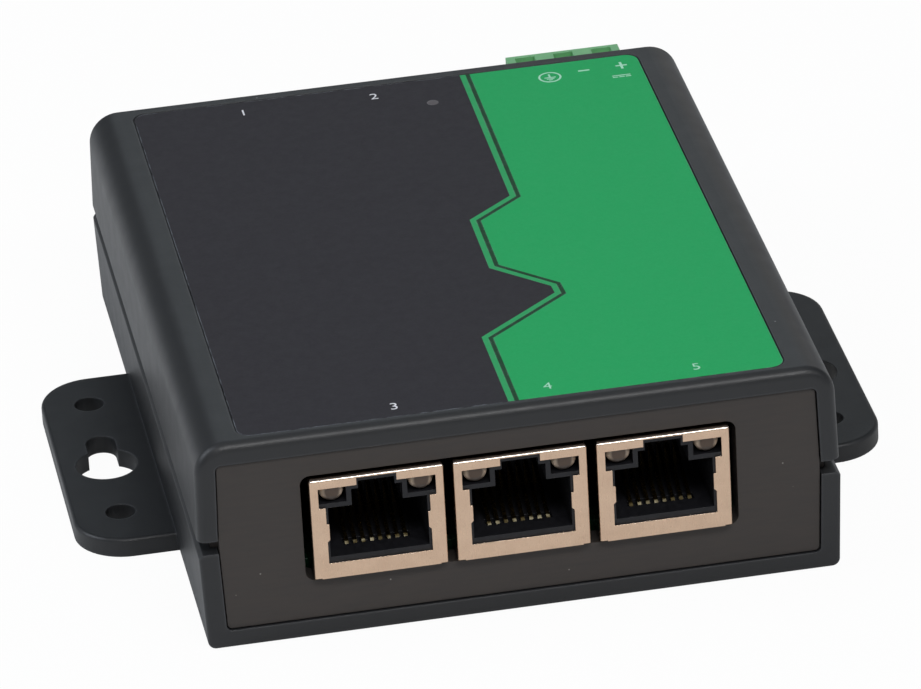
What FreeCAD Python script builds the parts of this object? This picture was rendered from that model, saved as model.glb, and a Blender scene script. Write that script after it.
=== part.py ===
import FreeCAD, Part
import math
import os
import Sketcher

# Small five-port Ethernet switch in a two-part moulded case with mounting ears.
# Millimetres. +Z is up, the front with three sockets looks along -Y, and the origin is the
# centre of the case's footprint, on its underside.

doc = FreeCAD.newDocument("EthernetSwitch")
sheet = doc.addObject("Spreadsheet::Sheet", "Sizes")

SIZES = (
    # alias, value, what it is
    ("case_width", 77.7, "case, over the parting line, where it is widest"),
    ("case_depth", 93.4, "case, front face to back face"),
    ("case_height", 27.2, "case, underside to top"),
    ("wall", 2.4, "side walls"),
    ("floor_thick", 2.3, "floor of the base"),
    ("roof_thick", 2.65, "roof of the cover"),
    ("draft", 1.8, "mould draft of the side walls, degrees"),
    ("base_height", 12.85, "underside to the base's parting edge"),
    ("joint_gap", 1.7, "open shadow line between base and cover"),
    ("joint_bevel", 0.5, "bevel on the base's parting edge"),
    ("lip_thick", 1.2, "lip of the base that locates the cover"),
    ("lip_height", 3.4, "lip, above the base's parting edge"),
    ("fit_gap", 0.15, "clearance of moulded parts that fit into each other"),
    ("overcut", 1.0, "cuts, past the surface that they open"),
    ("top_radius", 3.9, "long top edges of the cover"),
    ("bottom_radius", 1.0, "long bottom edges of the base"),
    ("end_radius", 1.2, "edges round the cover's two end faces"),
    ("end_softening", 0.4, "edges round the base's two end faces"),
    ("inner_corner", 0.7, "inside corners of the case"),
    ("ear_thick", 2.4, "mounting ears"),
    ("ear_length", 43.2, "ear, along the case"),
    ("ear_reach", 11.55, "ears, beyond the case's sides"),
    ("ear_corner", 6.5, "outer corners of the ears"),
    ("ear_edge", 0.5, "rounding of the ears' top edges"),
    ("hole_reach", 5.6, "mounting holes, beyond the case's sides"),
    ("hole_pitch", 28.7, "mounting holes, along one ear"),
    ("hole_radius", 1.85, "mounting holes and keyhole slot"),
    ("key_radius", 3.85, "round end of the keyhole"),
    ("key_setback", 1.9, "round end of the keyhole, forward of the ear's middle"),
    ("key_reach", 3.75, "slot end of the keyhole, behind the ear's middle"),
    ("rim", 1.8, "case end to the panel's slot"),
    ("slot_width", 1.55, "panel slot, along the case"),
    ("slot_depth", 0.8, "panel slot, into the walls"),
    ("panel_recess", 0.3, "panel face, behind the case end"),
    ("panel_gap", 0.15, "open line round the panel's face"),
    ("window_corner", 1.2, "corners of the panel's cut-outs"),
    ("label_width", 65.8, "printed label"),
    ("label_length", 89.1, "printed label"),
    ("label_shift", 0.3, "printed label, forward of the middle"),
    ("label_thick", 0.25, "printed label"),
    ("label_corner", 1.7, "corners of the label"),
    ("label_recess", 0.3, "pocket for the label in the roof"),
    ("label_margin", 0.15, "pocket edge round the label"),
    ("boss_x", 31.4, "case screws, from the middle line"),
    ("boss_y", 24.0, "case screws, from the middle line"),
    ("boss_radius", 3.7, "bosses of the base"),
    ("post_radius", 3.0, "posts of the cover"),
    ("rib_thick", 1.2, "rib between boss and side wall"),
    ("rib_drop", 0.8, "rib, below the boss's top"),
    ("screw_radius", 1.45, "case screws, thread"),
    ("screw_room", 1.7, "clearance bore for a case screw"),
    ("head_radius", 2.75, "case screws, head"),
    ("head_height", 2.0, "case screws, head"),
    ("head_room", 3.1, "counterbore for the screw's head"),
    ("head_sink", 2.8, "counterbore depth in the underside"),
    ("cross_length", 3.3, "cross recess of a case screw"),
    ("cross_width", 0.75, "cross recess of a case screw"),
    ("cross_depth", 1.0, "cross recess of a case screw"),
    ("screw_length", 18.0, "case screws, under the head"),
    ("tip_room", 0.7, "screw hole in the cover's post, past the screw's tip"),
    ("board_height", 6.4, "underside of the circuit board"),
    ("board_thick", 1.6, "circuit board"),
    ("board_side_gap", 0.7, "board edge to side wall"),
    ("board_end_gap", 1.5, "board edge to the panels"),
    ("board_corner", 1.5, "corners of the board"),
    ("jack_width", 16.1, "socket shield"),
    ("jack_height", 13.3, "socket shield"),
    ("jack_depth", 16.0, "socket shield"),
    ("jack_pitch", 17.25, "socket to socket"),
    ("jack_proud", 0.7, "socket face, in front of the case end"),
    ("back_jack_x", -15.4, "middle of the back pair of sockets"),
    ("jack_gap", 0.95, "cut-out edge beside the sockets"),
    ("jack_gap_below", 0.5, "cut-out edge under the sockets"),
    ("jack_gap_above", 0.25, "cut-out edge over the sockets"),
    ("shield_thick", 0.25, "socket shield sheet"),
    ("shield_bend", 0.25, "bends of the shield"),
    ("shield_corner", 0.12, "cut corners at the foot of the shield's face, height"),
    ("shield_corner_width", 0.9, "cut corners at the foot of the shield's face, width"),
    ("tail_width", 0.9, "soldered tails of the shield's sides"),
    ("tail_length", 2.4, "soldered tails, below the board's top"),
    ("tail_setback", 7.4, "soldered tails, behind the socket face"),
    ("tail_hole", 0.55, "board holes for the tails, radius"),
    ("mouth_width", 12.5, "plug opening in the shield"),
    ("mouth_sill", 2.0, "face of the shield under the plug opening"),
    ("shoulder_drop", 3.8, "foot of the lamp windows, below the shield's top"),
    ("window_width", 14.1, "over both lamp windows"),
    ("head_drop", 1.2, "head of the lamp windows, below the shield's top"),
    ("notch_width", 4.8, "notch in the shield's top strip"),
    ("finger_low", 5.2, "spring finger of the shield, lower end"),
    ("finger_high", 7.3, "spring finger of the shield, upper end"),
    ("finger_reach", 0.3, "spring finger, into the opening"),
    ("liner_gap", 0.05, "socket body inside its shield"),
    ("cavity_width", 11.9, "plug cavity of the socket body"),
    ("cavity_floor", 2.7, "plug cavity, floor"),
    ("cavity_depth", 12.5, "plug cavity, from the socket face"),
    ("latch_width", 6.1, "latch channel between the lamp housings"),
    ("latch_step_drop", 1.8, "step in the latch channel, below the shield's top"),
    ("latch_narrow", 4.4, "latch channel above the step"),
    ("latch_roof_drop", 0.8, "roof of the latch channel, below the shield's top"),
    ("lamp_wall", 0.6, "walls round a lamp"),
    ("lamp_radius", 1.5, "lamp lens"),
    ("lamp_length", 11.0, "lamp lens"),
    ("lamp_dome", 0.9, "domed end of the lamp lens"),
    ("lamp_setback", 0.3, "tip of the lamp, behind the socket face"),
    ("peg_radius", 1.5, "locating pegs of the sockets"),
    ("peg_length", 2.3, "locating pegs of the sockets"),
    ("peg_spacing", 11.43, "locating pegs of the sockets"),
    ("peg_setback", 8.9, "locating pegs, behind the socket face"),
    ("contact_count", 8, "contacts of a socket"),
    ("contact_spacing", 1.016, "contact to contact"),
    ("contact_width", 0.45, "contact spring"),
    ("contact_thick", 0.3, "contact spring"),
    ("contact_front", 3.1, "contact's front end, behind the face"),
    ("contact_low", 2.6, "contact's front end, above the board"),
    ("contact_well", 1.4, "well under the contacts' front ends, along the cavity"),
    ("contact_well_depth", 0.6, "well under the contacts' front ends"),
    ("contact_back", 11.6, "contact's rear bend, behind the face"),
    ("contact_high", 6.1, "contact's rear bend, above the board"),
    ("terminal_x", 25.7, "middle of the power terminal"),
    ("pole_count", 3, "poles of the power terminal"),
    ("pole_spacing", 5.08, "pole to pole"),
    ("header_height", 8.6, "terminal header, above the board"),
    ("header_depth", 11.7, "terminal header, front to back"),
    ("header_wall", 1.0, "terminal header"),
    ("header_cavity", 8.6, "terminal header, depth of its cavity"),
    ("header_gap", 0.55, "cut-out edge round the terminal header"),
    ("pin_size", 1.0, "header pins, square"),
    ("pin_reach", 7.2, "header pins, in the cavity"),
    ("plug_gap", 0.2, "plug in its header"),
    ("plug_bottom", 7.0, "terminal plug, underside"),
    ("plug_top", 22.0, "terminal plug, top"),
    ("plug_length", 11.7, "terminal plug, outside the header"),
    ("plug_margin", 0.15, "terminal plug, narrower than the header at each end"),
    ("plug_edge", 0.2, "rear edges of the terminal plug"),
    ("plug_nose", 8.0, "terminal plug, inside the header"),
    ("entry_size", 3.9, "wire entry of a pole, square"),
    ("entry_depth", 8.0, "wire entry of a pole"),
    ("entry_height", 12.4, "wire entry, middle above the underside of the case"),
    ("well_radius", 1.9, "screw well of a pole"),
    ("well_floor", 17.0, "screw well, height of its floor"),
    ("well_setback", 5.2, "screw well, ahead of the plug's rear face"),
    ("marker_width", 2.6, "marker recess of a pole"),
    ("marker_length", 2.0, "marker recess of a pole"),
    ("marker_depth", 0.7, "marker recess of a pole"),
    ("marker_margin", 0.75, "marker recess, ahead of the plug's rear face"),
    ("cage_wall", 0.5, "clamp cage"),
    ("cage_length", 5.0, "clamp cage"),
    ("clamp_radius", 1.3, "clamp screw, thread"),
    ("clamp_head", 1.75, "clamp screw, head"),
    ("clamp_head_height", 1.6, "clamp screw, head"),
    ("clamp_reach", 0.7, "clamp screw's tip, below the cage's wall"),
    ("clamp_slot", 0.7, "slot of a clamp screw, width"),
    ("clamp_slot_depth", 0.8, "slot of a clamp screw, depth"),
    ("pipe_x", 5.0, "power light"),
    ("pipe_y", 37.3, "power light"),
    ("pipe_radius", 1.2, "light pipe"),
    ("pipe_flange", 1.9, "light pipe, flange under the roof"),
    ("pipe_flange_thick", 0.8, "light pipe, flange under the roof"),
    ("pipe_foot_gap", 0.3, "light pipe, above its lamp"),
    ("transformer_wide", 6.6, "port transformer"),
    ("transformer_long", 12.7, "port transformer"),
    ("transformer_tall", 5.6, "port transformer"),
    ("transformer_gap", 1.2, "port transformer, behind its socket"),
    ("transformer_bevel", 0.7, "port transformer, long top edges"),
)

# Components on the board: name, middle x and y, width, length, height.
COMPONENTS = (
    ("switch_chip", 0.0, 0.0, 14.0, 14.0, 1.4),
    ("crystal", -14.0, 0.0, 4.7, 11.4, 3.5),
    ("power_inductor", 20.0, 11.0, 10.2, 10.2, 5.0),
    ("regulator_chip", 30.0, 11.0, 4.0, 5.0, 1.5),
    ("input_diode", 30.0, 3.0, 2.6, 4.6, 2.2),
    ("surge_suppressor", 24.0, 0.0, 3.6, 4.6, 2.3),
    ("input_fuse", 20.0, 0.0, 3.2, 4.6, 1.0),
    ("power_lamp", 5.0, 37.3, 1.3, 2.0, 0.8),
    ("input_capacitor", 21.5, 25.5, 8.0, 8.0, 10.0),
    ("output_capacitor", 12.0, 24.5, 8.0, 8.0, 10.0),
)
# Those with a rectangular case and those with a round one, each with its bevel or rounding.
BLOCKS = (
    ("switch_chip", 0.1), ("crystal", 0.15), ("power_inductor", 0.15), ("regulator_chip", 0.15),
    ("input_diode", 0.1), ("surge_suppressor", 0.1), ("input_fuse", 0.1), ("power_lamp", 0.2),
)
CANS = (("input_capacitor", 0.1), ("output_capacitor", 0.1))
SIZES += tuple(
    (f"{name}_{part}", number, f"{name}, {part}")
    for name, *numbers in COMPONENTS
    for part, number in zip(("x", "y", "wide", "long", "tall"), numbers))

for row, (alias, number, note) in enumerate(SIZES, start=1):
    sheet.set(f"A{row}", note)
    sheet.set(f"B{row}", str(number))
    sheet.setAlias(f"B{row}", alias)
doc.recompute()


class Size:
    """A length worked out from the sheet: its value, and the expression that binds it."""

    def __init__(self, value, text):
        self.value = float(value)
        self.text = text

    def __float__(self):
        return self.value

    def __neg__(self):
        return Size(-self.value, f"(-1 * {self.text})")

    def __add__(self, other):
        other = as_size(other)
        return Size(self.value + other.value, f"({self.text} + {other.text})")

    def __sub__(self, other):
        other = as_size(other)
        return Size(self.value - other.value, f"({self.text} - {other.text})")

    def __mul__(self, other):
        other = as_size(other)
        return Size(self.value * other.value, f"({self.text} * {other.text})")

    def __truediv__(self, other):
        other = as_size(other)
        return Size(self.value / other.value, f"({self.text} / {other.text})")

    __radd__ = __add__
    __rmul__ = __mul__


def as_size(number):
    """A Size as it is, or a plain number such as 0 or 2 as one."""
    if isinstance(number, Size):
        return number
    return Size(number, repr(float(number)))


def tangent(angle):
    """Tangent of an angle of the sheet, in degrees."""
    return Size(math.tan(math.radians(angle.value)), f"tan({angle.text} * 1 deg)")


size = {alias: Size(sheet.get(alias), f"Sizes.{alias}") for alias, _, _ in SIZES}


# Building with sketches and features.

PLANE_SIGN = {"XY": 1, "XZ": -1, "YZ": 1}      # way a plane's normal points along its axis


def bind(item, prop, length):
    """Tie a property to the sheet."""
    item.setExpression(prop, as_size(length).text)


def new_body(name, at=(0, 0, 0), turn=0):
    """A body of its own, whose label names the piece's file."""
    body = doc.addObject("PartDesign::Body", name)
    body.Label = name
    rotation = FreeCAD.Rotation(FreeCAD.Vector(0, 0, 1), turn)
    body.Placement = FreeCAD.Placement(FreeCAD.Vector(*(float(as_size(a)) for a in at)), rotation)
    for axis, place in zip("xyz", at):
        bind(body, f"Placement.Base.{axis}", place)
    return body


def corners(*points):
    """A closed outline with straight sides."""
    return ("corners", points)


def rectangle(low_x, high_x, low_y, high_y):
    """A closed outline with four square corners."""
    return corners((low_x, low_y), (high_x, low_y), (high_x, high_y), (low_x, high_y))


def circle(x, y, radius):
    """A round outline."""
    return ("circle", (x, y, radius))


def fix_point(sketch, geometry, point, x, y):
    """Dimension one point of a sketch from the sketch's origin."""
    for kind, place in (("DistanceX", x), ("DistanceY", y)):
        place = as_size(place)
        index = sketch.addConstraint(
            Sketcher.Constraint(kind, -1, 1, geometry, point, place.value))
        sketch.setExpression(f"Constraints[{index}]", place.text)


def draw(body, plane, at, outlines):
    """A fully dimensioned sketch on one of the body's own planes, moved to `at` on its axis."""
    sketch = body.newObject("Sketcher::SketchObject", f"{body.Name}_sketch")
    support = [item for item in body.Origin.OriginFeatures if item.Role == f"{plane}_Plane"]
    sketch.AttachmentSupport = [(support[0], "")]
    sketch.MapMode = "FlatFace"
    bind(sketch, "AttachmentOffset.Base.z", as_size(at) * PLANE_SIGN[plane])
    for kind, data in outlines:
        if kind == "circle":
            x, y, radius = (as_size(value) for value in data)
            index = sketch.addGeometry(
                Part.Circle(FreeCAD.Vector(x.value, y.value, 0), FreeCAD.Vector(0, 0, 1), radius.value))
            fix_point(sketch, index, 3, x, y)
            rule = sketch.addConstraint(Sketcher.Constraint("Radius", index, radius.value))
            sketch.setExpression(f"Constraints[{rule}]", radius.text)
            continue
        points = [(as_size(x), as_size(y)) for x, y in data]
        first = sketch.GeometryCount
        for (x1, y1), (x2, y2) in zip(points, points[1:] + points[:1]):
            sketch.addGeometry(Part.LineSegment(
                FreeCAD.Vector(x1.value, y1.value, 0), FreeCAD.Vector(x2.value, y2.value, 0)))
        for step, (x, y) in enumerate(points):
            after = (step + 1) % len(points)
            sketch.addConstraint(Sketcher.Constraint("Coincident", first + step, 2, first + after, 1))
            fix_point(sketch, first + step, 1, x, y)
    return sketch


def volume(body):
    """Volume of what the body holds so far."""
    doc.recompute()
    return body.Shape.Volume if body.Tip else 0.0


def extrude(kind, body, plane, at, length, outlines, towards):
    """A pad or a pocket from a sketch at `at`, along the plane's axis: towards +1, -1 or 0, both."""
    before = volume(body)
    feature = body.newObject(f"PartDesign::{kind}", f"{body.Name}_{kind.lower()}")
    feature.Profile = draw(body, plane, at, outlines)
    bind(feature, "Length", length)
    if towards == 0:
        feature.SideType = "Symmetric"
    elif kind == "Pad":
        feature.Reversed = towards != PLANE_SIGN[plane]
    else:
        feature.Reversed = towards == PLANE_SIGN[plane]
    change = volume(body) - before
    if (change > 0) != (kind == "Pad") or abs(change) < 1e-6:
        raise RuntimeError(f"{feature.Name} changes the volume by {change}")
    return feature


def pad(body, plane, at, length, outlines, towards=1):
    """Add material."""
    return extrude("Pad", body, plane, at, length, outlines, towards)


def pocket(body, plane, at, length, outlines, towards=1):
    """Take material away."""
    return extrude("Pocket", body, plane, at, length, outlines, towards)


def dress(kind, body, prop, amount, places):
    """A fillet or a chamfer on the edges that pass through the given places."""
    doc.recompute()
    base = body.Tip
    edges = base.Shape.Edges
    names = set()
    for place in places:
        spot = Part.Vertex(*(float(as_size(value)) for value in place))
        distances = [edge.distToShape(spot)[0] for edge in edges]
        names.add(f"Edge{distances.index(min(distances)) + 1}")
    feature = body.newObject(f"PartDesign::{kind}", f"{body.Name}_{kind.lower()}")
    feature.Base = (base, sorted(names))
    bind(feature, prop, amount)
    doc.recompute()
    if "Invalid" in feature.State or feature.Shape.isNull():
        raise RuntimeError(f"{feature.Name} can't be made")
    return feature


def fillet(body, radius, places):
    """Round the edges that pass through the given places."""
    return dress("Fillet", body, "Radius", radius, places)


def chamfer(body, width, places):
    """Bevel the edges that pass through the given places."""
    return dress("Chamfer", body, "Size", width, places)


def repeat(body, feature, axis, pitch, count):
    """Copies of a feature in a row along one axis of its body."""
    row = body.newObject("PartDesign::LinearPattern", f"{body.Name}_row")
    row.Originals = [feature]
    lines = [item for item in body.Origin.OriginFeatures if item.Role == f"{axis}_Axis"]
    row.Direction = (lines[0], [""])
    bind(row, "Length", pitch * (count - 1))
    bind(row, "Occurrences", count)
    body.Tip = row
    doc.recompute()
    return body


BOTH = (-1, 1)

# Heights and half widths that the case parts share.

half_width = size["case_width"] / 2
half_depth = size["case_depth"] / 2
slope = tangent(size["draft"])
cover_foot = size["base_height"] + size["joint_gap"]
lip_top = size["base_height"] + size["lip_height"]
inner = half_width - size["wall"]                       # inside of the walls at the parting line
lip_outside = inner + size["lip_thick"]
ceiling = size["case_height"] - size["roof_thick"]
slot_front = half_depth - size["rim"]
slot_back = slot_front - size["slot_width"]
board_top = size["board_height"] + size["board_thick"]
label_floor = size["case_height"] - size["label_recess"]
label_side = size["label_width"] / 2
label_front = -size["label_length"] / 2 - size["label_shift"]
label_back = size["label_length"] / 2 - size["label_shift"]

# Heights in a socket, above the board.
jack_shoulder = size["jack_height"] - size["shoulder_drop"]
window_head = size["jack_height"] - size["head_drop"]
latch_step = size["jack_height"] - size["latch_step_drop"]
latch_roof = size["jack_height"] - size["latch_roof_drop"]
lamp_axis = size["jack_height"] - size["shield_thick"] - size["liner_gap"] - size["lamp_radius"]

# Power terminal: a header on the board, and the plug pushed into it from the back.
header_face = half_depth - size["panel_recess"]
header_front = header_face - size["header_depth"]
header_half = size["pole_spacing"] * size["pole_count"] / 2
header_top = board_top + size["header_height"]
pin_height = board_top + size["header_height"] / 2
pin_y = header_front - size["pin_size"]
plug_face = half_depth + size["plug_gap"]
plug_rear = plug_face + size["plug_length"]
well_y = plug_rear - size["well_setback"]
entry_half = size["entry_size"] / 2
poles = int(size["pole_count"].value)


def base_side(half, height):
    """Half width at a height of the base, which narrows downwards."""
    return half - (size["base_height"] - height) * slope


def cover_side(half, height):
    """Half width at a height of the cover, which narrows upwards."""
    return half - (height - cover_foot) * slope


def both_sides(points):
    """An outline from its right half, listed from the bottom to the top."""
    return corners(*points, *[(-as_size(x), y) for x, y in reversed(points)])


def opening_outline(grow):
    """The case's end opening, grown all round: the walls' draft shows in its sides."""
    low = size["floor_thick"] - grow
    high = ceiling + grow
    return both_sides([
        (base_side(inner, low) + grow, low),
        (inner + grow, size["base_height"]),
        (inner + grow, cover_foot),
        (cover_side(inner, high) + grow, high),
    ])


def boss_places():
    """Middles of the four case screws."""
    return [(size["boss_x"] * sx, size["boss_y"] * sy) for sx in BOTH for sy in BOTH]


def pole_x(step):
    """Middle of a pole of the terminal, counted from its left end."""
    return size["terminal_x"] + size["pole_spacing"] * (as_size(step) - (size["pole_count"] - 1) / 2)


def moulded_base():
    """Lower half of the case: a channel with ears, bosses, panel slots and the locating lip."""
    body = new_body("bottom_base")
    low_inner = base_side(inner, size["floor_thick"])
    pad(body, "XZ", 0, size["case_depth"], [corners(
        (base_side(half_width, as_size(0)), 0),
        (half_width, size["base_height"]),
        (lip_outside, size["base_height"]),
        (lip_outside, lip_top),
        (inner, lip_top),
        (inner, size["base_height"]),
        (low_inner, size["floor_thick"]),
        (-low_inner, size["floor_thick"]),
        (-inner, size["base_height"]),
        (-inner, lip_top),
        (-lip_outside, lip_top),
        (-lip_outside, size["base_height"]),
        (-half_width, size["base_height"]),
        (-base_side(half_width, as_size(0)), 0),
    )], towards=0)
    fillet(body, size["inner_corner"], [(low_inner * sx, 0, size["floor_thick"]) for sx in BOTH])

    # The lip stops short of the panels, which slide down into the slots.
    pocket(body, "XY", size["base_height"], size["lip_height"] + size["overcut"], [
        rectangle(-half_width, half_width, low, high)
        for low, high in ((slot_back, half_depth), (-half_depth, -slot_back))
    ])
    for way in BOTH:
        pocket(body, "XZ", slot_front * way, size["slot_width"], [both_sides([
            (base_side(inner, size["floor_thick"] - size["slot_depth"]) + size["slot_depth"],
             size["floor_thick"] - size["slot_depth"]),
            (inner + size["slot_depth"], size["base_height"]),
            (inner + size["slot_depth"], lip_top),
        ])], towards=-way)

    # Rounded long edges, the bevelled parting edge and softened end faces.
    bottom = base_side(half_width, as_size(0))
    fillet(body, size["bottom_radius"], [(bottom * sx, 0, 0) for sx in BOTH])
    chamfer(body, size["joint_bevel"], [(half_width * sx, 0, size["base_height"]) for sx in BOTH])
    fillet(body, size["end_softening"], [(0, half_depth * sy, 0) for sy in BOTH])

    # Bosses that carry the board, each tied to the side wall by a rib.
    boss_height = size["board_height"] - size["floor_thick"]
    pad(body, "XY", size["floor_thick"], boss_height, [
        circle(x, y, size["boss_radius"]) for x, y in boss_places()])
    half_rib = size["rib_thick"] / 2
    pad(body, "XY", size["floor_thick"], boss_height - size["rib_drop"], [
        rectangle(size["boss_x"] * sx, (inner + size["fit_gap"]) * sx,
                  size["boss_y"] * sy - half_rib, size["boss_y"] * sy + half_rib)
        for sx in BOTH for sy in BOTH])
    pocket(body, "XY", 0, size["board_height"] + size["overcut"], [
        circle(x, y, size["screw_room"]) for x, y in boss_places()])
    pocket(body, "XY", 0, size["head_sink"], [
        circle(x, y, size["head_room"]) for x, y in boss_places()])

    # Ears with two round holes and a keyhole each.
    half_span = half_width + size["ear_reach"]
    half_ear = size["ear_length"] / 2
    for sx in BOTH:
        pad(body, "XY", 0, size["ear_thick"], [
            rectangle(inner * sx, half_span * sx, -half_ear, half_ear)])
    fillet(body, size["ear_corner"], [
        (half_span * sx, half_ear * sy, size["ear_thick"] / 2) for sx in BOTH for sy in BOTH])
    fillet(body, size["ear_edge"], [(half_span * sx, 0, size["ear_thick"]) for sx in BOTH])
    half_hole_span = half_width + size["hole_reach"]
    pocket(body, "XY", 0, size["ear_thick"] + size["overcut"], [
        circle(half_hole_span * sx, size["hole_pitch"] / 2 * sy, size["hole_radius"])
        for sx in BOTH for sy in BOTH])
    pocket(body, "XY", 0, size["ear_thick"] + size["overcut"], [
        circle(half_hole_span * sx, -size["key_setback"], size["key_radius"]) for sx in BOTH])
    pocket(body, "XY", 0, size["ear_thick"] + size["overcut"], [
        rectangle(half_hole_span * sx - size["hole_radius"], half_hole_span * sx + size["hole_radius"],
                  -size["key_setback"], size["key_reach"]) for sx in BOTH])
    pocket(body, "XY", 0, size["ear_thick"] + size["overcut"], [
        circle(half_hole_span * sx, size["key_reach"], size["hole_radius"]) for sx in BOTH])
    return body


def moulded_cover():
    """Upper half of the case: roof, drafted walls, posts over the board and the label's pocket."""
    body = new_body("top_cover")
    roof_side = cover_side(half_width, size["case_height"])
    inner_high = cover_side(inner, ceiling)
    pad(body, "XZ", 0, size["case_depth"], [corners(
        (inner, cover_foot),
        (half_width, cover_foot),
        (roof_side, size["case_height"]),
        (-roof_side, size["case_height"]),
        (-half_width, cover_foot),
        (-inner, cover_foot),
        (-inner_high, ceiling),
        (inner_high, ceiling),
    )], towards=0)
    fillet(body, size["inner_corner"], [(inner_high * sx, 0, ceiling) for sx in BOTH])
    fillet(body, size["top_radius"], [(roof_side * sx, 0, size["case_height"]) for sx in BOTH])
    fillet(body, size["end_radius"], [(0, half_depth * sy, size["case_height"]) for sy in BOTH])

    # Room for the base's lip inside the skirt, and slots for the two panels.
    rebate = lip_outside + size["fit_gap"]
    rebate_end = slot_back + size["fit_gap"]
    for sx in BOTH:
        pocket(body, "XY", cover_foot, lip_top + size["fit_gap"] - cover_foot, [
            rectangle((inner - size["overcut"]) * sx, rebate * sx, -rebate_end, rebate_end)])
    for way in BOTH:
        pocket(body, "XZ", slot_front * way, size["slot_width"], [both_sides([
            (inner + size["slot_depth"], cover_foot),
            (cover_side(inner, ceiling + size["slot_depth"]) + size["slot_depth"],
             ceiling + size["slot_depth"]),
        ])], towards=-way)

    # Posts that hold the board down on the base's bosses and take the case screws.
    pad(body, "XY", ceiling, ceiling - board_top, [
        circle(x, y, size["post_radius"]) for x, y in boss_places()], towards=-1)
    screw_tip = size["head_sink"] + size["screw_length"]
    pocket(body, "XY", board_top, screw_tip + size["tip_room"] - board_top, [
        circle(x, y, size["screw_radius"]) for x, y in boss_places()])

    # Shallow pocket for the label, and the bore for the light pipe.
    side = label_side + size["label_margin"]
    front = label_front - size["label_margin"]
    back = label_back + size["label_margin"]
    pocket(body, "XY", size["case_height"], size["label_recess"], [
        rectangle(-side, side, front, back)], towards=-1)
    fillet(body, size["label_corner"] + size["label_margin"], [
        (side * sx, y, size["case_height"] - size["label_recess"] / 2)
        for sx in BOTH for y in (front, back)])
    pocket(body, "XY", label_floor, size["roof_thick"], [
        circle(size["pipe_x"], size["pipe_y"], size["pipe_radius"] + size["fit_gap"])], towards=-1)
    return body


def end_panel(name, windows, turn):
    """Panel that closes one end: its face fills the opening, its flange slides in the slots.

    It is drawn as a front panel. Turned round, its cut-outs are mirrored to match the case.
    """
    body = new_body(name, turn=turn)
    play = size["fit_gap"] / 2
    face = -half_depth + size["panel_recess"]
    flange_front = -slot_front + play
    pad(body, "XZ", face, flange_front - face, [opening_outline(-size["panel_gap"])])
    low = size["floor_thick"] + size["panel_gap"]
    high = ceiling - size["panel_gap"]
    fillet(body, size["inner_corner"] - size["panel_gap"], [
        ((base_side(inner, low) - size["panel_gap"]) * sx, (face + flange_front) / 2, low)
        for sx in BOTH] + [
        ((cover_side(inner, high) - size["panel_gap"]) * sx, (face + flange_front) / 2, high)
        for sx in BOTH])
    pad(body, "XZ", flange_front, size["slot_width"] - play * 2,
        [opening_outline(size["slot_depth"] - play)])
    for left, right, low_z, high_z in windows:
        low_x, high_x = (-right, -left) if turn else (left, right)
        pocket(body, "XZ", face, size["rim"] + size["slot_width"],
               [rectangle(low_x, high_x, low_z, high_z)])
        fillet(body, size["window_corner"], [
            (x, (face + flange_front) / 2, z) for x in (low_x, high_x) for z in (low_z, high_z)])
    return body


def jack_window(middle, count):
    """Cut-out for a row of sockets: its sides, foot and head."""
    reach = size["jack_pitch"] * ((count - 1) / 2) + size["jack_width"] / 2 + size["jack_gap"]
    return (middle - reach, middle + reach, board_top - size["jack_gap_below"],
            board_top + size["jack_height"] + size["jack_gap_above"])


def top_label():
    """Printed polyester label in its pocket."""
    body = new_body("top_label")
    pad(body, "XY", label_floor, size["label_thick"], [
        rectangle(-label_side, label_side, label_front, label_back)])
    fillet(body, size["label_corner"], [
        (label_side * sx, y, label_floor + size["label_thick"] / 2)
        for sx in BOTH for y in (label_front, label_back)])
    return body


def jack_places():
    """Number, place of the foot of the face, and turn of each socket."""
    front = [(size["jack_pitch"] * step, -1) for step in (-1, 0, 1)]
    back = [(size["back_jack_x"] + size["jack_pitch"] * step, 1) for step in (-0.5, 0.5)]
    places = []
    for number, (x, way) in enumerate(back + front, start=1):
        face = (half_depth + size["jack_proud"]) * way
        places.append((number, (x, face, board_top), 0 if way < 0 else 180))
    return places


def circuit_board():
    """Board with the screw holes and the sockets' peg holes."""
    body = new_body("main_board")
    half_wide = base_side(inner, size["board_height"]) - size["board_side_gap"]
    half_long = slot_back - size["board_end_gap"]
    pad(body, "XY", size["board_height"], size["board_thick"], [
        rectangle(-half_wide, half_wide, -half_long, half_long)])
    fillet(body, size["board_corner"], [
        (half_wide * sx, half_long * sy, board_top - size["board_thick"] / 2)
        for sx in BOTH for sy in BOTH])
    holes = [circle(x, y, size["screw_room"]) for x, y in boss_places()]
    for _, (x, face, _), turn in jack_places():
        way = -1 if turn else 1
        for side in BOTH:
            holes.append(circle(x + size["peg_spacing"] / 2 * side, face + size["peg_setback"] * way,
                                size["peg_radius"] + size["fit_gap"]))
            tail_x = x + (size["jack_width"] - size["shield_thick"]) / 2 * side
            holes.append(circle(tail_x, face + size["tail_setback"] * way, size["tail_hole"]))
    for step in range(int(size["pole_count"].value)):
        holes.append(circle(pole_x(step), pin_y, size["pin_size"]))
    pocket(body, "XY", size["board_height"], size["board_thick"] + size["overcut"], holes)
    return body


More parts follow.
